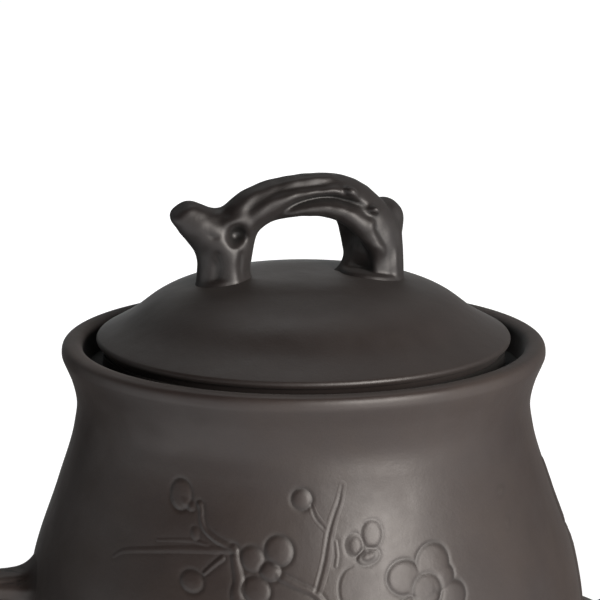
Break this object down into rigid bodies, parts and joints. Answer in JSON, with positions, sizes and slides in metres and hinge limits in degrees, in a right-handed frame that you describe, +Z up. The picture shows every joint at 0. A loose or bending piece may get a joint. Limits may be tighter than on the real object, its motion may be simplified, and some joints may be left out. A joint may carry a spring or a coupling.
{
  "type": "teapot",
  "caption": "Dark clay teapot with a flared mouth, a loose inset lid with a branch-shaped bridge knob, a branch spout, a loop handle and a plum-branch relief.",
  "frame": {"origin": "centre of the object's footprint box on the table, which is also the middle of the foot ring's underside, on the axis of the turned body", "axes": "+Z up along the axis of the turned body, +X towards the spout, -X towards the handle, -Y towards the face with the plum-branch relief"},
  "size_m": [0.2288, 0.1427, 0.1703],
  "materials": {
    "body_clay": "satin",
    "relief_clay": "satin",
    "knob_clay": "semi-gloss",
    "inner_clay": "matte"
  },
  "bodies": {
    "pot": {"pot_wall": "body_clay", "base_disc": "body_clay", "foot_ring": "body_clay", "mouth_ring": "body_clay", "seat_ring": "inner_clay", "spout": "body_clay", "spout_stub": "body_clay", "spout_strainer": "inner_clay", "handle": "body_clay", "relief_bough": "relief_clay", "relief_twigs": "relief_clay", "blossom_left": "relief_clay", "blossom_middle": "relief_clay", "blossom_right": "relief_clay", "leaf_bud": "relief_clay", "round_buds": "relief_clay"},
    "collar": {"lid_collar": "inner_clay"},
    "lid": {"lid_dome": "body_clay", "knob_branch": "knob_clay", "knob_strand": "knob_clay", "knob_left_stub": "knob_clay", "knob_right_stub": "knob_clay", "knob_knot": "knob_clay", "knob_left_foot": "knob_clay", "knob_right_foot": "knob_clay"}
  },
  "joints": [
    {"name": "lid_lift", "type": "slide", "parent": "pot", "child": "collar", "axis": [0, 0, 1], "range_m": [0, 0.06]},
    {"name": "lid_turn", "type": "hinge", "parent": "collar", "child": "lid", "pos_m": [0, 0, 0.126], "axis": [0, 0, 1], "continuous": true}
  ]
}
